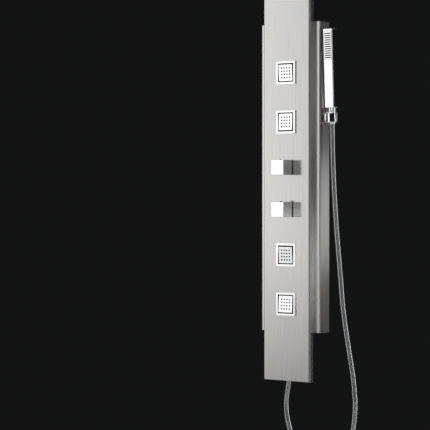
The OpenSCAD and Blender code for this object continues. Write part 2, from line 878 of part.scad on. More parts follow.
module holder_bracket() {
  slope = (nut_high_r - nut_low_r) / (nut_high - nut_low);
  low = -holder_h / 2 - cut;
  high = holder_h / 2 + cut;
  middle_r = nut_low_r - slope * nut_low + holder_clearance;
  color("gainsboro")
    difference() {
      union() {
        leaning() bar_z(holder_r, -holder_h / 2, holder_h / 2);
        translate([0, holder_y, holder_z]) bar_x(holder_boss_r, housing_w / 2, holder_x - holder_r * 0.6);
      }
      leaning() {
        translate([0, 0, low])
          cylinder(r1 = middle_r + slope * low, r2 = middle_r + slope * high, h = high - low);
        block([0, -slot_w / 2, low], [holder_r + 2, slot_w / 2, high]);
      }
      translate([0, holder_y, holder_z]) bar_x(holder_screw_r, housing_w / 2 - cut, holder_x - holder_r + 2);
    }
}

module holder_screw() {
  inside = housing_w / 2 - housing_t;
  color("silver")
    translate([0, holder_y, holder_z]) {
      bar_x(holder_screw_r, inside, holder_x - holder_r + 1.5);
      bar_x(holder_screw_head_r, inside - holder_screw_head_h, inside);
    }
}

// ---- rain head ----

module arm_flange() {
  color("gainsboro")
    difference() {
      block([-arm_plate_w / 2, panel_front - flange_t, arm_z - arm_plate_h / 2],
            [arm_plate_w / 2, panel_front, arm_z + arm_plate_h / 2]);
      facing(0, arm_z) bar_z(shank_r + hole_gap, -cut, flange_t + cut);
    }
}

module rain_arm() {
  end = -head_reach - arm_w / 2;
  start = panel_front - flange_t;
  color("gainsboro")
    difference() {
      union() {
        block([-arm_w / 2, end, arm_bottom], [arm_w / 2, start, arm_bottom + arm_h]);
        translate([0, 0, arm_z]) bar_y(shank_r, start, arm_inner);
        translate([0, -head_reach, 0]) bar_z(thread_r, nipple_bottom, arm_bottom);
      }
      translate([0, 0, arm_z]) bar_y(arm_bore_r, -head_reach, arm_inner + cut);
      translate([0, -head_reach, 0]) bar_z(arm_bore_r, nipple_bottom - cut, arm_z);
    }
}

module arm_nut() {
  color("goldenrod")
    facing(0, arm_z)
      difference() {
        translate([0, 0, -panel_t - arm_nut_h]) cylinder(r = arm_nut_r, h = arm_nut_h, $fn = 6);
        bar_z(shank_r, -panel_t - arm_nut_h - cut, -panel_t + cut);
      }
}

module arm_elbow() {
  front = panel_front + panel_t + arm_nut_h + cut;
  side = shank_r + 2;
  color("goldenrod")
    difference() {
      block([-side, front, arm_z - side], [side, arm_inner + 2, arm_z + side]);
      translate([0, 0, arm_z]) bar_y(shank_r, front - cut, arm_inner);
      translate([0, pipe_y, arm_z]) bar_x(pipe_bore_r, shank_r - 1, side + cut);
    }
}

module ball_nut() {
  color("gainsboro")
    translate([0, -head_reach, 0])
      difference() {
        bar_z(ball_nut_r, ball_nut_lip, arm_bottom - 1);
        translate([0, 0, ball_z]) sphere(r = head_ball_r + ball_gap);
        bar_z(max(thread_r, head_ball_r) + seat_gap, ball_z + 2, arm_bottom);
      }
}

module ball_seal() {
  color("dimgray")
    translate([0, -head_reach, 0])
      difference() {
        bar_z(thread_r, ball_z + head_ball_r / 2, nipple_bottom);
        translate([0, 0, ball_z]) sphere(r = head_ball_r + seat_gap);
        bar_z(0.45 * head_ball_r, ball_z, nipple_bottom + cut);
      }
}

module head_ball() {
  color("gainsboro")
    translate([0, -head_reach, 0])
      difference() {
        union() {
          translate([0, 0, ball_z]) sphere(r = head_ball_r);
          bar_z(head_neck_r, head_top - head_sheet - neck_foot_h, ball_z);
          bar_z(head_neck_r + 2.5, head_top - head_sheet - neck_foot_h, head_top - head_sheet - boss_gap);
        }
        bar_z(neck_bore_r, head_top - head_sheet - neck_foot_h - 1, ball_z + head_ball_r + 1);
      }
}

module head_shell() {
  half = head_side / 2;
  color("gainsboro")
    translate([0, -head_reach, 0])
      difference() {
        union() {
          block([-half, -half, head_bottom], [half, half, head_top]);
          bar_z(head_boss_r, head_top, head_boss_top);
        }
        block([-half + head_sheet, -half + head_sheet, head_bottom - cut],
              [half - head_sheet, half - head_sheet, head_top - head_sheet]);
        bar_z(head_neck_r + running_gap, head_top - head_sheet - cut, head_boss_top + cut);
      }
}

module head_plate() {
  half = head_side / 2 - head_sheet;
  color("silver")
    translate([0, -head_reach, 0])
      block([-half, -half, head_bottom], [half, half, head_bottom + head_plate_t]);
}

module head_nozzles() {
  first = -(head_nozzle_rows - 1) / 2;
  color("dimgray")
    translate([0, -head_reach, 0])
      for (i = [0 : head_nozzle_rows - 1], j = [0 : head_nozzle_rows - 1])
        translate([(first + i) * head_nozzle_pitch, (first + j) * head_nozzle_pitch, 0])
          bar_z(head_nozzle_r, head_bottom - nozzle_out, head_bottom);
}

rear_housing();
front_panel();
panel_trim();
back_covers();
wall_bracket_upper();
wall_bracket_lower();
hanger_rail();
fixing_screws();
jet_bezel(jet_z[0]);  // jet_bezel_1
jet_bezel(jet_z[1]);  // jet_bezel_2
jet_bezel(jet_z[2]);  // jet_bezel_3
jet_bezel(jet_z[3]);  // jet_bezel_4
jet_plate(0);  // jet_plate_1
jet_plate(1);  // jet_plate_2
jet_plate(2);  // jet_plate_3
jet_plate(3);  // jet_plate_4
jet_nozzles(0);  // jet_nozzles_1
jet_nozzles(1);  // jet_nozzles_2
jet_nozzles(2);  // jet_nozzles_3
jet_nozzles(3);  // jet_nozzles_4
jet_retainers();
diverter_body();
cartridge(diverter_z);  // diverter_cartridge
spindle(diverter_z);  // diverter_spindle
diverter_knob();
diverter_screw();
thermostat_body();
cartridge(mixer_z);  // thermostat_cartridge
spindle(mixer_z);  // thermostat_spindle
thermostat_knob();
thermostat_screw();
stop_button();
stop_spring();
collar_rings();
temperature_index();
inlet_nipples();
link_pipe();
riser_pipe();
jet_rail();
hand_pipe();
hose_outlet();
hose_nut_lower();
hose();
hose_nut_upper();
handset_body();
handset_face();
handset_nozzles();
holder_bracket();
holder_screw();
arm_flange();
rain_arm();
arm_nut();
arm_elbow();
ball_nut();
ball_seal();
head_ball();
head_shell();
head_plate();
head_nozzles();
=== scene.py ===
"""Looks of the rainfall shower column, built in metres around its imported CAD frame.

The wall is the plane y = 0, the column faces -Y, +X is to the right of someone who faces it, +Z is up.
"""

import math

import bmesh
import bpy
from mathutils import Matrix, Vector


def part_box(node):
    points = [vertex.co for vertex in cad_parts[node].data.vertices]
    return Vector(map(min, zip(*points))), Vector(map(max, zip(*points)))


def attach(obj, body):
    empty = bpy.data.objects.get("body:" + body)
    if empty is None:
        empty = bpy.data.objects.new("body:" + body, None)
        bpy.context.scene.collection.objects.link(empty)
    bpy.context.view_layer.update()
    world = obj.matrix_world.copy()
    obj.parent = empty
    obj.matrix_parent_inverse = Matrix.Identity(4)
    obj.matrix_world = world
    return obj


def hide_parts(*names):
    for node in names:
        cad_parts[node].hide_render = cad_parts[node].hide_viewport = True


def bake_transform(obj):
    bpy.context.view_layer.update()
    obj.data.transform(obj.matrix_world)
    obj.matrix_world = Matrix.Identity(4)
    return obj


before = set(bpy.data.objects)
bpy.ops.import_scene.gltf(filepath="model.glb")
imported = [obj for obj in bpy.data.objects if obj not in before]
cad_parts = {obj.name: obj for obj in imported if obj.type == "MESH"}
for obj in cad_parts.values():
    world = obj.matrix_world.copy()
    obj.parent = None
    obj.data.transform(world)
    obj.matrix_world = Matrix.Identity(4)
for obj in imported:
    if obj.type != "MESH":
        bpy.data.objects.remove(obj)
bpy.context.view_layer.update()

MM = 0.001
CLOSE = 0.05 * MM  # how near a face or an edge has to be to count as being in a plane

# Camera: a long lens from the front right, level, a little below the upper knob
CAMERA_PLACE = Vector((2.6345, -3.7684, -0.072))
CAMERA_AIM = Vector((-0.6133, 0.7898, 0.0))
CAMERA_LENS = 141.96
CAMERA_SHIFT_Y = -0.0253
FLOOR_SIDE = 4.0
FLOOR_Z = -1.10

# The hose's route in millimetres, the same points as the CAD part's
HOSE_ROUTE = (
    (-20, -22, -446), (-20, -22, -490), (-20, -22, -530), (-24, -22, -564), (-30, -22, -602),
    (-29, -22, -636), (-21, -22, -670), (-8, -22, -704), (9, -22, -743), (31, -22, -782),
    (58, -22, -810), (90, -22, -821), (122, -21, -808), (147, -21, -777), (164, -20, -740),
    (176, -20, -700), (185, -19, -655), (189, -18, -605), (187, -18, -570), (182, -17, -530),
    (173, -17, -480), (163, -16, -430), (154, -16, -378), (147, -16, -325), (142, -16, -270),
    (136, -16, -210), (130, -16, -150), (125, -16, -85), (121, -17, -15), (119, -19, 60),
    (119, -20.5, 110), (119, -21.2, 140),
)
HOSE_RADIUS = 7 * MM
HOSE_SIDES = 16
HOSE_RING_GAP = 0.75 * MM
HOSE_PITCH = 3.0 * MM  # the wound strip's real pitch is about 2.3 mm, and is drawn coarser so that it shows
HOSE_GROOVE = 0.22 * MM

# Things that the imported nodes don't say by their boxes
HANDSET_LEAN = math.radians(2.6)
HOLDER_CENTRE = Vector((119 * MM, -22 * MM, 158.5 * MM))
JET_TILTS = (3, -2, 4, -3)
JET_PIVOT_Y = -62 * MM
JET_NOZZLE_PITCH = 8.5 * MM
JET_NOZZLE_ROWS = 4
HEAD_NOZZLE_PITCH = 18 * MM
HEAD_NOZZLE_ROWS = 10
HEAD_RIM = 99 * MM  # the head's outer edges are farther from its middle than this
HANDSET_ROW_PITCH = 5.8 * MM
HANDSET_ROWS = 12
HANDSET_NUB_PITCH = 3 * MM
HANDSET_NUBS = 6
SHEET = 1.5 * MM  # the steel's thickness
SHEET_LIP = 12 * MM  # how far the sheet turns in at its back
OPENING_HALF = 56 * MM  # the opening behind the panel: half its width, and its distance from each end
OPENING_MARGIN = 20 * MM
JET_FRAME_HALF = 31 * MM
JET_OPENING_HALF = 25 * MM
JET_TUB_HALF = 26.5 * MM
JET_HOLE_HALF = 26.7 * MM
JET_STUB_HALF = 12 * MM
JET_PLATE_HALF = 22 * MM
JET_BALL_R = 5.95  # a turned piece's radii are in millimetres
JET_SOCKET_R = 6.15
JET_NECK_R = 4


# ---- camera, floor and light ----


def add_camera():
    """The camera at its measured place, level, with a small shift for the framing."""
    lens = bpy.data.cameras.new("view_camera")
    lens.lens = CAMERA_LENS
    lens.sensor_width = 36
    lens.shift_y = CAMERA_SHIFT_Y
    lens.clip_end = 60
    camera = bpy.data.objects.new("view_camera", lens)
    bpy.context.scene.collection.objects.link(camera)
    camera.location = CAMERA_PLACE
    camera.rotation_euler = CAMERA_AIM.to_track_quat("-Z", "Y").to_euler()
    bpy.context.scene.camera = camera


def add_light(name, place, target, size, power, falls=None):
    """A soft rectangular light that faces a point. falls gives how its strength changes along X and Y."""
    data = bpy.data.lights.new(name, "AREA")
    data.shape = "RECTANGLE"
    data.size, data.size_y = size
    data.energy = power
    light = bpy.data.objects.new(name, data)
    bpy.context.scene.collection.objects.link(light)
    light.location = place
    light.rotation_euler = (Vector(target) - Vector(place)).to_track_quat("-Z", "Y").to_euler()
    if falls:
        data.use_nodes = True
        tree = data.node_tree
        across = add(tree, "ShaderNodeNewGeometry").outputs["Parametric"]
        spot = add(tree, "ShaderNodeSeparateXYZ", {"Vector": across})
        strength = 1.0
        for axis, (low, high, low_strength, high_strength) in falls.items():
            part = add(tree, "ShaderNodeMapRange", {
                "Value": spot.outputs[axis], "From Min": low, "From Max": high,
                "To Min": low_strength, "To Max": high_strength})
            strength = add(tree, "ShaderNodeMath", {0: part.outputs["Result"], 1: strength},
                           operation="MULTIPLY").outputs[0]
        tree.links.new(strength, tree.nodes["Emission"].inputs["Strength"])


def add_studio():
    """A dim room with one large soft light at the front left, and weaker ones elsewhere."""
    middle = (0, 0, -0.05)
    # The window fades towards its foot and its right side, which shades the steel softly
    add_light("window", (-1.96, -2.52, 0.27), (0, 0, 0.27), (2.6, 2.6), 30,
              {"X": (0.48, 0.82, 1.05, 0.45), "Y": (0.0, 0.30, 0.42, 1.0)})
    add_light("low_fill", (2.3, -2.98, -0.36), (0, 0, -0.36), (0.8, 0.36), 2.3)
    add_light("high_fill", (2.3, -2.98, 0.50), (0, 0, 0.50), (0.8, 0.62), 1.3)
    add_light("edge_strip", (2.2, 1.72, -0.25), (0, 0, -0.25), (0.6, 2.4), 12)
    add_light("overhead", (-0.3, -1.2, 2.6), middle, (2.4, 1.6), 50)
    add_light("side_panel", (2.94, 0.57, -0.05), (0, 0, -0.05), (2.0, 2.4), 6)
    add_light("side_glow", (1.75, 2.3, -0.12), middle, (0.8, 0.46), 0.75)
    add_light("back_fill", (-1.6, 2.6, 0.6), middle, (2.0, 1.6), 14)
    world = bpy.data.worlds.new("dim_room")
    world.use_nodes = True
    bpy.context.scene.world = world
    tree = world.node_tree
    direction = add(tree, "ShaderNodeTexCoord").outputs["Generated"]
    height = add(tree, "ShaderNodeSeparateXYZ", {"Vector": direction}).outputs["Z"]
    lift = add(tree, "ShaderNodeMapRange", {"Value": height, "From Min": 0.2, "From Max": 0.9,
                                            "To Min": 0.008, "To Max": 0.45})
    tree.links.new(lift.outputs["Result"], tree.nodes["Background"].inputs["Strength"])
    tree.nodes["Background"].inputs["Color"].default_value = linear("#EEF1F6")
    bpy.context.scene.view_settings.view_transform = "Standard"


def add_floor():
    """A plain pale floor, as far under the mixer as in a shower."""
    bpy.ops.mesh.primitive_plane_add(size=FLOOR_SIDE, location=(0, 0, FLOOR_Z))
    floor = bpy.context.object
    floor.name = "pale_floor"
    bpy.ops.object.transform_apply()
    material, tree, shader, place = start_material("matt_pale_floor", "#D9D8D4", 0.0, 0.75)
    cloud = add(tree, "ShaderNodeTexNoise", {"Vector": place, "Scale": 2.0, "Detail": 3.0})
    shade = add(tree, "ShaderNodeMapRange", {"Value": cloud.outputs["Fac"], "To Min": 0.70, "To Max": 0.80})
    tree.links.new(shade.outputs["Result"], shader.inputs["Roughness"])
    floor.data.materials.append(material)


# ---- finishes ----


def linear(code):
    """An sRGB hex colour as linear red, green, blue and alpha."""
    parts = [int(code[i : i + 2], 16) / 255 for i in (1, 3, 5)]
    return [c / 12.92 if c <= 0.04045 else ((c + 0.055) / 1.055) ** 2.4 for c in parts] + [1.0]


def add(tree, kind, inputs=None, **settings):
    """Adds a node with its settings; each input is a value or another node's output."""
    node = tree.nodes.new(kind)
    for name, value in settings.items():
        setattr(node, name, value)
    for socket, value in (inputs or {}).items():
        if isinstance(value, bpy.types.NodeSocket):
            tree.links.new(value, node.inputs[socket])
        else:
            node.inputs[socket].default_value = value
    return node


def start_material(name, colour, metallic, roughness):
    """A new material with its shader's constants set, and the object's own coordinates."""
    material = bpy.data.materials.new(name)
    material.use_nodes = True
    tree = material.node_tree
    shader = tree.nodes["Principled BSDF"]
    shader.inputs["Base Color"].default_value = linear(colour)
    shader.inputs["Metallic"].default_value = metallic
    shader.inputs["Roughness"].default_value = roughness
    place = add(tree, "ShaderNodeTexCoord").outputs["Object"]
    return material, tree, shader, place


def vary(tree, source, low, high, target):
    """Spreads a 0 to 1 pattern over a range and sends it to a shader's socket."""
    spread = add(tree, "ShaderNodeMapRange", {"Value": source, "From Min": 0.3, "From Max": 0.7,
                                              "To Min": low, "To Max": high})
    tree.links.new(spread.outputs["Result"], target)


def tint(tree, source, dark, light, target):
    """Mixes two colours by a pattern and sends the result to a shader's socket."""
    ramp = add(tree, "ShaderNodeValToRGB", {"Fac": source})
    ramp.color_ramp.elements[0].position, ramp.color_ramp.elements[1].position = 0.3, 0.7
    ramp.color_ramp.elements[0].color, ramp.color_ramp.elements[1].color = linear(dark), linear(light)
    tree.links.new(ramp.outputs["Color"], target)


def relieve(tree, source, height, shader):
    """Raises a 0 to 1 pattern by a height in metres."""
    bump = add(tree, "ShaderNodeBump", {"Height": source, "Distance": height, "Strength": 1.0})
    tree.links.new(bump.outputs["Normal"], shader.inputs["Normal"])


def brushed_steel(name, dark, light, roughness, along):
    """Brushed 304 stainless steel: a soft mirror with fine lines along one axis."""
    material, tree, shader, place = start_material(name, light, 1.0, roughness)
    # Belt lines are about 0.1 mm apart in life; drawn 1 mm apart and 150 mm long, so that they show
    across, length = 1000.0, 6.5
    stretch = [length if axis == along else across for axis in range(3)]
    lines = add(tree, "ShaderNodeMapping", {"Vector": place, "Scale": stretch})
    coarse = add(tree, "ShaderNodeTexNoise", {"Vector": lines.outputs["Vector"], "Scale": 1.0,
                                              "Detail": 3.0, "Roughness": 0.6})
    # Handling leaves wide faint patches about 120 mm across
    patches = add(tree, "ShaderNodeTexNoise", {"Vector": place, "Scale": 8.0, "Detail": 2.0})
    both = add(tree, "ShaderNodeMix", {"Factor": 0.3, 2: coarse.outputs["Fac"], 3: patches.outputs["Fac"]})
    tint(tree, coarse.outputs["Fac"], dark, light, shader.inputs["Base Color"])
    vary(tree, both.outputs[0], roughness * 0.88, roughness * 1.12, shader.inputs["Roughness"])
    relieve(tree, coarse.outputs["Fac"], 0.0015 * MM, shader)
    return material


def chrome_plate(name, dark, light, roughness):
    """Bright chrome plating on brass or ABS: a clear, slightly cool mirror with faint wipe marks."""
    material, tree, shader, place = start_material(name, light, 1.0, roughness)
    # Wipe marks and dried droplets are about 10 mm across
    marks = add(tree, "ShaderNodeTexNoise", {"Vector": place, "Scale": 100.0, "Detail": 4.0,
                                             "Roughness": 0.6})
    tint(tree, marks.outputs["Fac"], dark, light, shader.inputs["Base Color"])
    vary(tree, marks.outputs["Fac"], roughness * 0.6, roughness * 1.6, shader.inputs["Roughness"])
    return material


def soft_plastic(name, dark, light, roughness, grain, depth):
    """Moulded silicone or nylon: matt, with a fine even grain whose size is given in metres."""
    material, tree, shader, place = start_material(name, light, 0.0, roughness)
    texture = add(tree, "ShaderNodeTexNoise", {"Vector": place, "Scale": 1 / grain, "Detail": 2.0})
    tint(tree, texture.outputs["Fac"], dark, light, shader.inputs["Base Color"])
    vary(tree, texture.outputs["Fac"], roughness * 0.85, roughness * 1.1, shader.inputs["Roughness"])
    relieve(tree, texture.outputs["Fac"], depth, shader)
    return material


def cast_metal(name, dark, light, roughness, grain, depth):
    """A cast, drawn or galvanised metal: its grain or spangle size is given in metres."""
    material, tree, shader, place = start_material(name, light, 1.0, roughness)
    cells = add(tree, "ShaderNodeTexVoronoi", {"Vector": place, "Scale": 1 / grain})
    cloud = add(tree, "ShaderNodeTexNoise", {"Vector": place, "Scale": 40.0, "Detail": 4.0})
    both = add(tree, "ShaderNodeMix", {"Factor": 0.4, 2: cloud.outputs["Fac"],
                                       3: cells.outputs["Distance"]})
    tint(tree, both.outputs[0], dark, light, shader.inputs["Base Color"])
    vary(tree, both.outputs[0], roughness * 0.8, roughness * 1.2, shader.inputs["Roughness"])
    relieve(tree, cells.outputs["Distance"], depth, shader)
    return material


def hose_winding():
    """Chrome-plated wound brass strip: for each turn of the strip a bright ridge and a groove darkened with
    painted shade.
    """
    material, tree, shader, _ = start_material("chromed_hose_strip", "#DADCDE", 1.0, 0.16)
    surface = add(tree, "ShaderNodeUVMap", uv_map="hose_map").outputs["UV"]
    turn = add(tree, "ShaderNodeTexWave", {"Vector": surface, "Scale": 2 * math.pi / 20, "Distortion": 0.0},
               wave_type="BANDS", bands_direction="Y", wave_profile="SIN")
    # The darker colour that follows each groove is painted shade
    tint(tree, turn.outputs["Fac"], "#77797C", "#E2E4E6", shader.inputs["Base Color"])
    vary(tree, turn.outputs["Fac"], 0.30, 0.12, shader.inputs["Roughness"])
    return material


def make_finishes():
    """Every finish on the shower column, by the name of the thing it is."""
    return {
        "panel_steel": brushed_steel("brushed_304_steel_panel", "#B5B3B2", "#C5C3C2", 0.17, 2),
        "housing_steel": brushed_steel("brushed_304_steel_housing", "#B4B2B0", "#C8C6C4", 0.20, 2),
        "trim_steel": brushed_steel("polished_304_steel_bead", "#CFCDC9", "#E4E2DE", 0.16, 2),
        "plain_steel": cast_metal("galvanised_steel_strip", "#8E9092", "#B9BBBD", 0.42, 6 * MM, 0.01 * MM),
        "chrome": chrome_plate("chrome_plated_brass", "#F4F5F6", "#FAFBFC", 0.045),
        "satin_chrome": chrome_plate("satin_chrome_plated_abs", "#F3F4F4", "#F9FAFA", 0.12),
        "brass": cast_metal("cast_brass", "#9A7B3E", "#C9A55C", 0.38, 1.2 * MM, 0.03 * MM),
        "copper": cast_metal("drawn_copper_pipe", "#9C5B3C", "#C87E58", 0.30, 3 * MM, 0.005 * MM),
        "rubber": soft_plastic("moulded_grey_silicone", "#1E2022", "#292B2E", 0.6, 0.8 * MM, 0.01 * MM),
        "nylon": soft_plastic("moulded_white_nylon", "#C9C8C2", "#DAD9D4", 0.48, 1.0 * MM, 0.01 * MM),
        # Black nylon for the retainers and the ball seal, and painted shade for the black sheets in the jets'
        # grooves
        "black_nylon_and_shade": soft_plastic("moulded_black_nylon_and_painted_shade", "#191A1B", "#242526", 0.5, 1.0 * MM, 0.01 * MM),
        "spring_steel": cast_metal("drawn_spring_steel", "#8A8C8E", "#B4B6B8", 0.3, 2 * MM, 0.004 * MM),
        "hose": hose_winding(),
    }


# ---- shaping ----


def deselect_all():
    """Back to object mode with nothing selected."""
    if bpy.context.object and bpy.context.object.mode != "OBJECT":
        bpy.ops.object.mode_set(mode="OBJECT")
    bpy.ops.object.select_all(action="DESELECT")


def activate(piece):
    """Makes a piece the only selected and active one."""
    deselect_all()
    piece.select_set(True)
    bpy.context.view_layer.objects.active = piece


def place_mesh(piece, matrix=None):
    """Moves what was modelled into its place, and leaves the object itself at the origin."""
    activate(piece)
    if matrix is not None:
        piece.matrix_world = matrix @ piece.matrix_world
    bpy.ops.object.transform_apply(location=True, rotation=True, scale=True)


def block(name, low, high):
    """A box between two corners, to be shaped further."""
    deselect_all()
    low, high = Vector(low), Vector(high)
    bpy.ops.mesh.primitive_cube_add(size=1, location=(low + high) / 2)
    piece = bpy.context.object
    piece.name = piece.data.name = name
    piece.scale = high - low
    place_mesh(piece)
    return piece


def facing(axis):
    """The turn that takes +Z to an axis."""
    return Vector(axis).to_track_quat("Z", "Y").to_matrix().to_4x4()


def turned(name, profile, foot, axis=(0, 0, 1), steps=48):
    """A turned piece: a profile of (radius, height) in millimetres from the foot, spun round an axis."""
    deselect_all()
    bpy.ops.mesh.primitive_plane_add(size=1)
    piece = bpy.context.object
    piece.name = piece.data.name = name
    bpy.ops.object.mode_set(mode="EDIT")
    bpy.ops.mesh.select_mode(type="VERT")
    bpy.ops.mesh.merge(type="CENTER")
    points = [Vector((r * MM, 0, h * MM)) for r, h in profile]
    bpy.ops.transform.translate(value=points[0])
    for here, there in zip(points, points[1:]):
        bpy.ops.mesh.extrude_vertices_move(TRANSFORM_OT_translate={"value": there - here})
    bpy.ops.mesh.select_all(action="SELECT")
    bpy.ops.mesh.spin(steps=steps, angle=math.tau, center=(0, 0, 0), axis=(0, 0, 1))
    bpy.ops.mesh.select_all(action="SELECT")
    bpy.ops.mesh.remove_doubles(threshold=1e-6)
    bpy.ops.mesh.normals_make_consistent(inside=False)
    bpy.ops.object.mode_set(mode="OBJECT")
    place_mesh(piece, Matrix.Translation(foot) @ facing(axis))
    return piece


def pick(piece, kind, test):
    """Enters edit mode with only those faces or edges selected whose middle and direction pass a test."""
    activate(piece)
    bpy.ops.object.mode_set(mode="EDIT")
    bpy.ops.mesh.select_mode(type=kind)
    bpy.ops.mesh.select_all(action="DESELECT")
    mesh = bmesh.from_edit_mesh(piece.data)
    if kind == "FACE":
        for face in mesh.faces:
            if test(face.calc_center_median(), face.normal):
                face.select_set(True)
    else:
        for edge in mesh.edges:
            a, b = (v.co for v in edge.verts)
            if test((a + b) / 2, (b - a).normalized()):
                edge.select_set(True)
    bmesh.update_edit_mesh(piece.data)


def looks(axis, sign, at=None):
    """A test for faces that look along an axis, in one plane if a height is given."""
    def test(centre, normal):
        return normal[axis] * sign > 0.999 and (at is None or abs(centre[axis] - at) < CLOSE)
    return test


def step(piece, test, inset, move):
    """Insets the faces that pass a test and moves the inner face by an extrusion."""
    pick(piece, "FACE", test)
    if inset:
        bpy.ops.mesh.inset(thickness=inset, depth=0)
    bpy.ops.mesh.extrude_region_move(TRANSFORM_OT_translate={"value": move})
    bpy.ops.object.mode_set(mode="OBJECT")


def round_edges(piece, test, radius, segments):
    """Rounds the edges that pass a test."""
    pick(piece, "EDGE", test)
    bpy.ops.mesh.bevel(offset=radius, segments=segments, affect="EDGES")
    bpy.ops.object.mode_set(mode="OBJECT")


def modify(piece, kind, **settings):
    """Adds a modifier and applies it."""
    activate(piece)
    modifier = piece.modifiers.new(kind.lower(), kind)
    for name, value in settings.items():
        setattr(modifier, name, value)
    bpy.ops.object.modifier_apply(modifier=modifier.name)


def soften(piece, width=0.4, segments=2, angle=32):
    """Takes the sharp edges off a piece by a width in millimetres, and shades its flats flat."""
    if width:
        modify(piece, "BEVEL", width=width * MM, segments=segments, limit_method="ANGLE",
               angle_limit=math.radians(angle), use_clamp_overlap=True)
    activate(piece)
    bpy.ops.object.shade_smooth_by_angle(angle=math.radians(50))
    modify(piece, "WEIGHTED_NORMAL", weight=80, keep_sharp=True)


def cut_away(piece, *cutters):
    """Cuts the cutters' shapes out of a piece and removes them."""
    for cutter in cutters:
        modify(piece, "BOOLEAN", operation="DIFFERENCE", object=cutter, solver="EXACT")
        bpy.data.objects.remove(cutter)


def join(piece, *others):
    """Joins pieces into the first one."""
    activate(piece)
    for other in others:
        other.select_set(True)
    bpy.ops.object.join()
    return piece


def copy_of(piece, name, offset=(0, 0, 0)):
    """A copy with its own mesh, moved."""
    activate(piece)
    bpy.ops.object.duplicate()
    twin = bpy.context.object
    twin.name = twin.data.name = name
    place_mesh(twin, Matrix.Translation(offset))
    return twin


def grid_of(piece, counts, pitch, axes):
    """Repeats a piece in rows along two axes, centred on where it was modelled."""
    middle = Vector((0, 0, 0))
    for axis, count in zip(axes, counts):
        way = Vector((0, 0, 0))
        way[axis] = pitch
        middle += way * (count - 1) / 2
        modify(piece, "ARRAY", count=count, use_relative_offset=False, use_constant_offset=True,
               constant_offset_displace=way)
    place_mesh(piece, Matrix.Translation(-middle))


def finished(piece, finish, body, slot, *stands_for):
    """Gives a piece its finish and its body, and hides the CAD nodes that it stands for. The slot is not
    used.
    """
    deselect_all()
    piece.data.materials.clear()
    piece.data.materials.append(FINISHES[finish])
    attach(piece, body)
    if stands_for:
        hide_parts(*stands_for)


# ---- hose ----


def smooth_line(points, gap):
    """Points an even gap apart along the smooth curve through the given ones."""
    dense = []
    for i in range(len(points) - 1):
        a, b = points[max(i - 1, 0)], points[i]
        c, d = points[i + 1], points[min(i + 2, len(points) - 1)]
        for k in range(60):
            t = k / 60
            dense.append(0.5 * (2 * b + (c - a) * t + (2 * a - 5 * b + 4 * c - d) * t * t
                                + (3 * b - a - 3 * c + d) * t * t * t))
    dense.append(points[-1])
    even, walked = [dense[0]], 0.0
    for here, there in zip(dense, dense[1:]):
        span = (there - here).length
        while walked + span >= gap * len(even):
            even.append(here.lerp(there, (gap * len(even) - walked) / span))
        walked += span
    even.append(dense[-1])
    return even


def make_hose():
    """The wound metal hose: a tube whose wall rises and falls with each turn of its strip."""
    line = smooth_line([Vector(p) * MM for p in HOSE_ROUTE], HOSE_RING_GAP)
    count = len(line)
    rings, faces, marks = [], [], []
    for i, centre in enumerate(line):
        way = (line[min(i + 1, count - 1)] - line[max(i - 1, 0)]).normalized()
        side = Vector((0, 1, 0)).cross(way).normalized()
        up = way.cross(side)
        for k in range(HOSE_SIDES):
            angle = math.tau * k / HOSE_SIDES
            wave = 0.5 + 0.5 * math.cos(math.tau * i * HOSE_RING_GAP / HOSE_PITCH + angle)
            radius = HOSE_RADIUS - HOSE_GROOVE * (1 - wave)
            rings.append(centre + radius * (math.cos(angle) * side + math.sin(angle) * up))
    for i in range(count - 1):
        for k in range(HOSE_SIDES):
            a, b = i * HOSE_SIDES + k, i * HOSE_SIDES + (k + 1) % HOSE_SIDES
            faces.append((a, a + HOSE_SIDES, b + HOSE_SIDES, b))
            turns = i * HOSE_RING_GAP / HOSE_PITCH
            step_up = HOSE_RING_GAP / HOSE_PITCH
            marks.append([(k / HOSE_SIDES, turns + k / HOSE_SIDES),
                          (k / HOSE_SIDES, turns + step_up + k / HOSE_SIDES),
                          ((k + 1) / HOSE_SIDES, turns + step_up + (k + 1) / HOSE_SIDES),
                          ((k + 1) / HOSE_SIDES, turns + (k + 1) / HOSE_SIDES)])
    faces.append(tuple(range(HOSE_SIDES)))
    faces.append(tuple((count - 1) * HOSE_SIDES + k for k in reversed(range(HOSE_SIDES))))
    mesh = bpy.data.meshes.new("wound_hose")
    mesh.from_pydata(rings, [], faces)
    layer = mesh.uv_layers.new(name="hose_map")
    for face, corners in zip(mesh.polygons, marks):
        for loop, mark in zip(face.loop_indices, corners):
            layer.data[loop].uv = mark
    mesh.update()
    hose = bpy.data.objects.new("wound_hose", mesh)
    bpy.context.scene.collection.objects.link(hose)
    activate(hose)
    bpy.ops.object.mode_set(mode="EDIT")
    bpy.ops.mesh.select_all(action="SELECT")
    bpy.ops.mesh.normals_make_consistent(inside=False)
    bpy.ops.object.mode_set(mode="OBJECT")
    bpy.ops.object.shade_smooth_by_angle(angle=math.radians(70))
    mesh.materials.append(FINISHES["hose"])
    deselect_all()
    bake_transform(hose)
    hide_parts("hose")


# ---- panel and housing ----


def middle_of(node):
    """The middle of a CAD node's box."""
    low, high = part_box(node)
    return (low + high) / 2


def hollow_back(piece, low, high, sheet, lip):
    """Opens a folded sheet box at its back: a turned-in lip all round and thin walls behind it."""
    step(piece, looks(1, 1, high.y), lip, (0, -sheet, 0))
    size = high - low
    wider = [(size[axis] - 2 * sheet) / (size[axis] - 2 * lip) for axis in (0, 2)]
    step(piece, looks(1, 1, high.y - sheet), 0, (0, 0, 0))
    pick(piece, "FACE", looks(1, 1, high.y - sheet))
    bpy.ops.transform.resize(value=(wider[0], 1, wider[1]), center_override=(low + high) / 2)
    bpy.ops.mesh.extrude_region_move(TRANSFORM_OT_translate={"value": (0, -(size.y - 2 * sheet), 0)})
    bpy.ops.object.mode_set(mode="OBJECT")


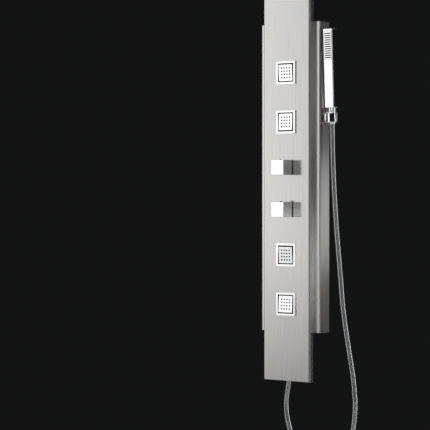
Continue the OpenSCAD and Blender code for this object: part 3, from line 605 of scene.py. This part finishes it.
def front_folds(low, high):
    """A test for a folded box's two long edges at its front."""
    def test(middle, way):
        return (abs(way.z) > 0.999 and abs(middle.y - low.y) < CLOSE
                and abs(abs(middle.x) - high.x) < CLOSE)
    return test


def opening(low, high, back):
    """A cutter for the wide opening behind the panel, from a piece's front to a place behind it."""
    return block("opening", (-OPENING_HALF, low.y - MM, low.z + OPENING_MARGIN),
                 (OPENING_HALF, back, high.z - OPENING_MARGIN))


def make_front_panel():
    """The folded front panel: two rounded long folds, a hollow back, and holes for jets, valves and arm."""
    low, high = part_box("front_panel")
    panel = block("panel_sheet", low, high)
    hollow_back(panel, low, high, SHEET, SHEET_LIP)
    round_edges(panel, front_folds(low, high), 3 * MM, 6)
    holes = []
    for number in range(1, 5):
        z = middle_of(f"jet_bezel_{number}").z
        holes.append(block("hole", (-JET_HOLE_HALF, low.y - 1 * MM, z - JET_HOLE_HALF),
                           (JET_HOLE_HALF, low.y + 3 * MM, z + JET_HOLE_HALF)))
    for node, radius in (("diverter_knob", 11.2), ("thermostat_knob", 11.2), ("arm_flange", 10.2)):
        middle = middle_of(node)
        holes.append(turned("hole", [(0, -4), (radius, -4), (radius, 4), (0, 4)],
                            (middle.x, low.y, middle.z), (0, 1, 0)))
    cut_away(panel, *holes)
    soften(panel, 0.5)
    finished(panel, "panel_steel", "column", "brushed_steel", "front_panel")


def make_panel_trim():
    """The polished bead between the panel and the housing."""
    low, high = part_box("panel_trim")
    bead = block("panel_bead", low, high)
    cut_away(bead, opening(low, high, high.y + MM))
    soften(bead, 0.3)
    finished(bead, "trim_steel", "column", "polished_steel", "panel_trim")


def make_rear_housing():
    """The wider wall housing: rounded folds, a lip round its open back and the opening behind the panel."""
    low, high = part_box("rear_housing")
    case = block("housing_case", low, high)
    hollow_back(case, low, high, SHEET, SHEET_LIP)
    round_edges(case, front_folds(low, high), 1.6 * MM, 4)
    cut_away(case, opening(low, high, low.y + 3 * MM))
    soften(case, 0.5)
    finished(case, "housing_steel", "column", "brushed_steel", "rear_housing")


# ---- jets ----


def ball_side(radius, centre, start):
    """The profile of a ball's side, from an angle off its top down to its foot, in millimetres."""
    turns = [start + (math.pi - start) * i / 12 for i in range(13)]
    return [(radius * math.sin(turn), centre + radius * math.cos(turn)) for turn in turns]


def make_jets():
    """Four body jets: a square frame, a tilting plate in a groove darkened by a black sheet of painted shade,
    and 16 rubber nozzles.
    """
    front_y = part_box("front_panel")[0].y
    tub_depth = 5.5 * MM
    frame_model = block("jet_frame", (-JET_FRAME_HALF, front_y - 4 * MM, -JET_FRAME_HALF),
                        (JET_FRAME_HALF, front_y, JET_FRAME_HALF))
    step(frame_model, looks(1, -1), JET_FRAME_HALF - JET_OPENING_HALF, (0, 8 * MM, 0))
    step(frame_model, looks(1, 1, front_y), JET_FRAME_HALF - JET_TUB_HALF, (0, tub_depth, 0))
    step(frame_model, looks(1, 1, front_y + tub_depth), JET_TUB_HALF - JET_STUB_HALF, (0, 14.5 * MM, 0))
    ball_foot = (0, JET_PIVOT_Y, 0)
    cut_away(frame_model, turned("socket", ball_side(JET_SOCKET_R, 0, 0), ball_foot, (0, -1, 0), 32))
    soften(frame_model, 0.7, 3)
    collar = turned("collar", [(6.2, 0), (8, 0), (8, 3.5), (6.2, 3.5), (6.2, 0)],
                    (0, front_y + 4 * MM, 0), (0, -1, 0))
    soften(collar, 0.3)
    join(frame_model, collar)

    # A black sheet lines the groove round the plate: painted shade for the deep gap, not a real seal
    floor_y = front_y + 3.95 * MM
    groove_shade_half = JET_OPENING_HALF - 0.02 * MM
    groove_shade_model = block("jet_groove_shade", (-groove_shade_half, front_y - 3.3 * MM, -groove_shade_half),
                       (groove_shade_half, floor_y, groove_shade_half))
    step(groove_shade_model, looks(1, -1), 0.4 * MM, (0, 6.75 * MM, 0))
    way = turned("way", [(0, -2), (8.1, -2), (8.1, 3), (0, 3)], (0, floor_y, 0), (0, -1, 0), 32)
    cut_away(groove_shade_model, way)
    soften(groove_shade_model, 0.1, 1)

    plate_front = front_y - 4.5 * MM
    plate_model = block("jet_face", (-JET_PLATE_HALF, plate_front, -JET_PLATE_HALF),
                        (JET_PLATE_HALF, plate_front + 3 * MM, JET_PLATE_HALF))
    # A shallow raised field holds the nozzles, inside a narrow chamfered border
    step(plate_model, looks(1, -1), 3 * MM, (0, 0.35 * MM, 0))
    soften(plate_model, 0.5, 3)
    neck = (plate_front - JET_PIVOT_Y) / -MM - 2
    ball = ball_side(JET_BALL_R, 0, math.asin(JET_NECK_R / JET_BALL_R))
    stem = turned("stem", [(0, neck), (JET_NECK_R, neck)] + ball, ball_foot, (0, -1, 0), 32)
    soften(stem, 0)
    join(plate_model, stem)

    tip_model = turned("jet_tips", [(0, -1), (2.2, -1), (2.2, 0.25), (1.9, 0.6), (1.0, 0.6),
                                    (0.8, 0.05), (0, 0.05)], (0, plate_front, 0), (0, -1, 0), 14)
    grid_of(tip_model, (JET_NOZZLE_ROWS, JET_NOZZLE_ROWS), JET_NOZZLE_PITCH, (0, 2))
    soften(tip_model, 0)

    for number, tilt in enumerate(JET_TILTS, start=1):
        lift = Vector((0, 0, middle_of(f"jet_bezel_{number}").z))
        pivot = Vector((0, JET_PIVOT_Y, 0))
        tip = (Matrix.Translation(lift) @ Matrix.Translation(pivot)
               @ Matrix.Rotation(math.radians(tilt), 4, "X") @ Matrix.Translation(-pivot))
        rim = copy_of(frame_model, f"jet_frame_{number}", lift)
        finished(rim, "chrome", "column", "chrome", f"jet_bezel_{number}")
        # The black sheet in the groove is painted shade
        groove_shade = copy_of(groove_shade_model, f"jet_groove_shade_{number}", lift)
        finished(groove_shade, "black_nylon_and_shade", "column", "inner_plastic", f"jet_bezel_{number}")
        for model, name, finish, slot, node in (
            (plate_model, "jet_face", "satin_chrome", "chrome", "jet_plate"),
            (tip_model, "jet_tips", "rubber", "nozzle_rubber", "jet_nozzles"),
        ):
            twin = copy_of(model, f"{name}_{number}")
            place_mesh(twin, tip)
            finished(twin, finish, f"jet_{number}", slot, f"{node}_{number}")
    for model in (frame_model, groove_shade_model, plate_model, tip_model):
        bpy.data.objects.remove(model)


# ---- knobs ----


def make_knob(name, node, body, button):
    """A square chrome knob: crisp rounded edges, a hollow back with a hub, and room for its button."""
    low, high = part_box(node)
    middle = (low + high) / 2
    knob = block(name, low, high)
    step(knob, looks(1, 1), 3 * MM, (0, -30 * MM, 0))
    hub = turned("hub", [(4.1, 0), (8, 0), (8, 34), (4.1, 34), (4.1, 0)],
                 (middle.x, high.y, middle.z), (0, -1, 0), 32)
    if button:
        well = turned("well", [(0, -6), (5.1, -6), (5.1, 4), (0, 4)],
                      (middle.x, low.y + 15 * MM, high.z), (0, 0, 1), 32)
        cut_away(knob, well)
    soften(knob, 0.9, 3)
    soften(hub, 0.3)
    join(knob, hub)
    finished(knob, "chrome", body, "chrome", node)


def make_grub_screw(name, node, body, sign):
    """A grub screw in a knob's wall: a chamfered end with a socket."""
    low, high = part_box(node)
    middle = (low + high) / 2
    foot = Vector((middle.x, middle.y, low.z if sign > 0 else high.z))
    tall = (high.z - low.z) / MM
    profile = [(0, 0), (1.95, 0), (1.95, tall - 0.4), (1.6, tall), (0.95, tall), (0.95, tall - 1.2),
               (0, tall - 1.2)]
    screw = turned(name, profile, foot, (0, 0, sign), 24)
    soften(screw, 0)
    finished(screw, "spring_steel", body, "plain_steel", node)


def make_stop_button():
    """The round safety stop on the temperature knob: a domed cap with a fine groove under its rim."""
    low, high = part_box("stop_button")
    middle = (low + high) / 2
    tall = (high.z - low.z) / MM
    profile = [(0, 0), (4.95, 0), (4.95, tall - 2.2), (4.55, tall - 2.0), (4.55, tall - 1.7),
               (4.95, tall - 1.5), (4.8, tall - 0.7), (4.2, tall - 0.2), (3, tall - 0.05), (0, tall)]
    button = turned("stop_cap", profile, (middle.x, middle.y, low.z), (0, 0, 1), 40)
    soften(button, 0)
    finished(button, "chrome", "stop", "polished_steel", "stop_button")


def make_knob_fittings():
    """The collars round the valve necks and the temperature mark beside the lower knob."""
    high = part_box("collar_rings")[1]
    profile = [(11.05, 0), (15.5, 0), (15.5, 1.1), (14.9, 1.8), (14.2, 2), (11.6, 2), (11.05, 1.6),
               (11.05, 0)]
    rings = [turned("valve_collars", profile, (0, high.y, middle_of(node).z), (0, -1, 0))
             for node in ("diverter_knob", "thermostat_knob")]
    collars = join(*rings)
    soften(collars, 0)
    finished(collars, "chrome", "column", "chrome", "collar_rings")
    middle = middle_of("temperature_index")
    dot = turned("temperature_mark", [(0, 0), (1.2, 0), (1.2, 2.0), (0.9, 2.25), (0, 2.3)],
                 (middle.x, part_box("temperature_index")[1].y, middle.z), (0, -1, 0), 24)
    soften(dot, 0)
    finished(dot, "chrome", "column", "chrome", "temperature_index")


# ---- hose fittings, hand shower and holder ----


def leaning():
    """The turn and move that take the upright hand shower to its leaning place in the holder."""
    return Matrix.Translation(HOLDER_CENTRE) @ Matrix.Rotation(HANDSET_LEAN, 4, "X")


def make_hose_fittings():
    """The outlet under the housing, its nut and the conical nut under the hand shower."""
    middle = middle_of("hose_outlet")
    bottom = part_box("rear_housing")[0].z
    thread = [(10.45 - 0.55 * (i % 2), -18 + i * 0.75) for i in range(20)]
    collar = [(10.45, -3), (14.2, -3), (14.95, -2.2), (14.95, 0), (10.45, 0), (10.45, 12), (0, 12)]
    outlet = turned("hose_outlet_union", [(0, -18)] + thread + collar, (middle.x, middle.y, bottom))
    soften(outlet, 0)
    finished(outlet, "chrome", "column", "chrome", "hose_outlet")
    deselect_all()
    bpy.ops.mesh.primitive_cylinder_add(vertices=6, radius=13.05 * MM, depth=14 * MM,
                                        location=(middle.x, middle.y, bottom - 13 * MM))
    nut = bpy.context.object
    nut.name = nut.data.name = "outlet_nut"
    place_mesh(nut)
    round_edges(nut, lambda m, w: abs(w.z) > 0.999, 0.7 * MM, 2)
    soften(nut, 0.6, 2, 50)
    profile = [(5, 0), (8, 0), (8.3, 0.8), (8.3, 1.6), (8.0, 2.2), (11.15, 12), (11.15, 13), (5, 13), (5, 0)]
    cone = turned("cone", profile, (middle.x, middle.y, bottom - 32 * MM))
    soften(cone, 0.2)
    join(nut, cone)
    finished(nut, "chrome", "column", "chrome", "hose_nut_lower")
    profile = [(5, -18.2), (7.6, -18.2), (8.0, -17.8), (8.1, -15.6), (7.8, -15.2), (7.9, -14.8), (10.1, 19.6),
               (9.8, 20), (9.8, 20.8), (10.25, 21.2), (10.5, 25.4), (10.1, 25.9), (5, 25.9), (5, -18.2)]
    top_nut = turned("handset_nut", profile, (0, 0, 0), steps=64)
    place_mesh(top_nut, leaning())
    soften(top_nut, 0.12, 2)
    finished(top_nut, "chrome", "handset", "chrome", "hose_nut_upper")


def make_hand_shower():
    """The square stick: chrome body with a flush spray face and twelve rubber bars of small nozzles."""
    half_w, half_d = 14 * MM, 12.5 * MM
    bottom, top = 25.9 * MM, 233.9 * MM
    face_low, face_high = 152.1 * MM, 227.9 * MM
    body = block("handset_stick", (-half_w, -half_d, bottom), (half_w, half_d, top))
    round_edges(body, lambda m, w: abs(w.z) > 0.999, 1.6 * MM, 4)
    cut_away(body, block("seat", (-11.15 * MM, -half_d - MM, face_low - 0.15 * MM),
                         (11.15 * MM, -half_d + 2.2 * MM, face_high + 0.15 * MM)))
    soften(body, 0.6, 3)
    finished_parts = [(body, "chrome", "chrome", "handset_body")]
    face = block("handset_spray_face", (-11 * MM, -half_d, face_low), (11 * MM, -half_d + 2 * MM, face_high))
    soften(face, 0.5, 3)
    finished_parts.append((face, "satin_chrome", "chrome", "handset_face"))
    bar_half, bar_half_tall, bar_proud = 9.3 * MM, 1.5 * MM, 0.25 * MM
    bar = block("handset_nozzle_bars", (-bar_half, -half_d - bar_proud, -bar_half_tall),
                (bar_half, -half_d, bar_half_tall))
    soften(bar, 0.2, 2)
    profile = [(0, 0), (0.62, 0), (0.55, 0.4), (0.4, 0.49), (0, 0.3)]
    nub = turned("nub", profile, (0, -half_d, 0), (0, -1, 0), 12)
    grid_of(nub, (HANDSET_NUBS, 1), HANDSET_NUB_PITCH, (0, 2))
    soften(nub, 0)
    join(bar, nub)
    middle = (face_low + face_high) / 2
    place_mesh(bar, Matrix.Translation((0, 0, middle)))
    grid_of(bar, (1, HANDSET_ROWS), HANDSET_ROW_PITCH, (0, 2))
    finished_parts.append((bar, "rubber", "nozzle_rubber", "handset_nozzles"))
    for piece, finish, slot, node in finished_parts:
        place_mesh(piece, leaning())
        finished(piece, finish, "handset", slot, node)


def make_holder():
    """The holder: an open ring, slotted on its right for the hose, on an upright barrel at the housing."""
    profile = [(8.55, -12.5), (14.2, -12.5), (15, -11.6), (15, 11.6), (14.2, 12.5), (10.2, 12.5),
               (8.55, -12.5)]
    ring = turned("handset_holder", profile, (0, 0, 0), steps=72)
    cut_away(ring, block("slot", (0, -7.75 * MM, -16 * MM), (20 * MM, 7.75 * MM, 16 * MM)))
    place_mesh(ring, leaning())
    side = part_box("rear_housing")[1].x
    profile = [(0, -13.8), (9.5, -13.8), (11.3, -13.2), (12.6, -10), (13.4, -5), (13.7, 0), (13.4, 5),
               (12.6, 10), (11.3, 13.2), (9.5, 13.8), (0, 13.8)]
    barrel = turned("barrel", profile, (side + 11.2 * MM, HOLDER_CENTRE.y, HOLDER_CENTRE.z), steps=56)
    # The hand shower's bore and the housing's side are cut from the barrel
    bore = turned("bore", [(0, -20), (12, -20), (12, 20), (0, 20)], (0, 0, 0))
    place_mesh(bore, leaning())
    wall = block("wall", (side - 20 * MM, -60 * MM, 130 * MM), (side, 20 * MM, 190 * MM))
    cut_away(barrel, bore, wall)
    soften(ring, 0.35, 2)
    soften(barrel, 0.2)
    join(ring, barrel)
    finished(ring, "chrome", "column", "chrome", "holder_bracket")


# ---- rain head ----


def make_arm():
    """The flat rectangular arm, its wall plate on the panel and the ball nut under its end."""
    low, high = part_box("arm_flange")
    plate = block("arm_plate", low, high)
    soften(plate, 1.2, 4)
    finished(plate, "chrome", "column", "chrome", "arm_flange")
    low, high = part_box("rain_arm")
    panel_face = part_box("arm_flange")[0].y
    middle_z = middle_of("arm_flange").z
    arm = block("rain_head_arm", (low.x, low.y, middle_z - 7 * MM), (high.x, panel_face, middle_z + 7 * MM))
    round_edges(arm, lambda m, w: abs(w.y) > 0.999, 2 * MM, 4)
    soften(arm, 0.8, 3)
    shank = turned("shank", [(0, 0), (10, 0), (10, 16.5), (9.4, 17), (0, 17)],
                   (0, panel_face, middle_z), (0, 1, 0))
    head_y = low.y + 16 * MM
    nipple = turned("nipple", [(0, -17), (9.6, -17), (10.4, -16.2), (10.4, -7), (0, -7)],
                    (0, head_y, middle_z))
    for part in (shank, nipple):
        soften(part, 0)
    join(arm, shank, nipple)
    finished(arm, "chrome", "column", "chrome", "rain_arm")
    low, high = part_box("ball_nut")
    tall = (high.z - low.z) / MM
    profile = [(8.2, 0), (13.4, 0), (14.4, 1), (14.5, 2), (14.5, 8), (14.1, 8.3), (14.1, 9), (14.5, 9.3),
               (14.5, tall - 1), (13.7, tall), (10.5, tall), (10.5, 8), (10.1, 6), (8.2, 0)]
    nut = turned("swivel_nut", profile, (0, head_y, low.z), steps=64)
    soften(nut, 0.15)
    finished(nut, "chrome", "column", "chrome", "ball_nut")


def make_rain_head():
    """The thin square rain head: a chrome shell, a spray plate let into its underside and 100 nozzles."""
    low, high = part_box("head_shell")
    plate_low, plate_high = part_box("head_plate")
    middle = (low + high) / 2
    top = high.z - 6 * MM
    shell = block("rain_head_shell", (low.x, low.y, low.z), (high.x, high.y, top))
    step(shell, looks(2, -1), 1.5 * MM, (0, 0, top - low.z - 1.5 * MM))

    def rim(centre, way):
        off = centre - middle
        return abs(centre.z - top) < CLOSE and max(abs(off.x), abs(off.y)) > HEAD_RIM

    round_edges(shell, rim, 2.2 * MM, 4)
    soften(shell, 0.5, 3)
    profile = [(5.6, -1), (18, -1), (17.8, 0), (15.5, 0.8), (14.1, 2.2), (13.9, 5.4), (13.2, 6), (6, 6),
               (5.6, 5.6), (5.6, -1)]
    boss = turned("boss", profile, (middle.x, middle.y, top))
    soften(boss, 0.2)
    join(shell, boss)
    finished(shell, "chrome", "rain_head", "chrome", "head_shell")
    plate = block("rain_head_plate", plate_low, plate_high)
    # A shallow step sets the nozzle field back from the plate's border
    step(plate, looks(2, -1), 5 * MM, (0, 0, 0.5 * MM))
    soften(plate, 0.35, 2)
    finished(plate, "trim_steel", "rain_head", "polished_steel", "head_plate")
    profile = [(0, -0.5), (2.1, -0.5), (2.0, 0.6), (1.55, 1.0), (1.3, 1.9), (0.7, 1.9), (0.55, 1.2), (0, 1.2)]
    tip = turned("rain_head_tips", profile, (middle.x, middle.y, plate_low.z + 0.5 * MM), (0, 0, -1), 12)
    grid_of(tip, (HEAD_NOZZLE_ROWS, HEAD_NOZZLE_ROWS), HEAD_NOZZLE_PITCH, (0, 1))
    soften(tip, 0)
    finished(tip, "rubber", "rain_head", "nozzle_rubber", "head_nozzles")


def finish_inner_parts():
    """The CAD parts that keep their own shapes, each with the finish of the real thing."""
    finishes = {
        "plain_steel": ("wall_bracket_upper", "wall_bracket_lower", "hanger_rail", "back_covers",
                        "fixing_screws", "holder_screw"),
        "brass": ("diverter_body", "diverter_spindle", "thermostat_body", "thermostat_spindle",
                  "inlet_nipples", "arm_nut", "arm_elbow"),
        "copper": ("link_pipe", "riser_pipe", "jet_rail", "hand_pipe"),
        "nylon": ("diverter_cartridge", "thermostat_cartridge"),
        "black_nylon_and_shade": ("jet_retainers", "ball_seal"),
        "spring_steel": ("stop_spring",),
        "chrome": ("head_ball",),
    }
    for finish, names in finishes.items():
        for name in names:
            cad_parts[name].data.materials.clear()
            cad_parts[name].data.materials.append(FINISHES[finish])


add_camera()
FINISHES = make_finishes()
make_hose()
make_front_panel()
make_panel_trim()
make_rear_housing()
make_jets()
make_knob("diverter_handle", "diverter_knob", "diverter_control", False)
make_knob("temperature_handle", "thermostat_knob", "temperature_control", True)
make_grub_screw("diverter_grub_screw", "diverter_screw", "diverter_control", 1)
make_grub_screw("temperature_grub_screw", "thermostat_screw", "temperature_control", -1)
make_stop_button()
make_knob_fittings()
make_hose_fittings()
make_hand_shower()
make_holder()
make_arm()
make_rain_head()
finish_inner_parts()
add_floor()
add_studio()
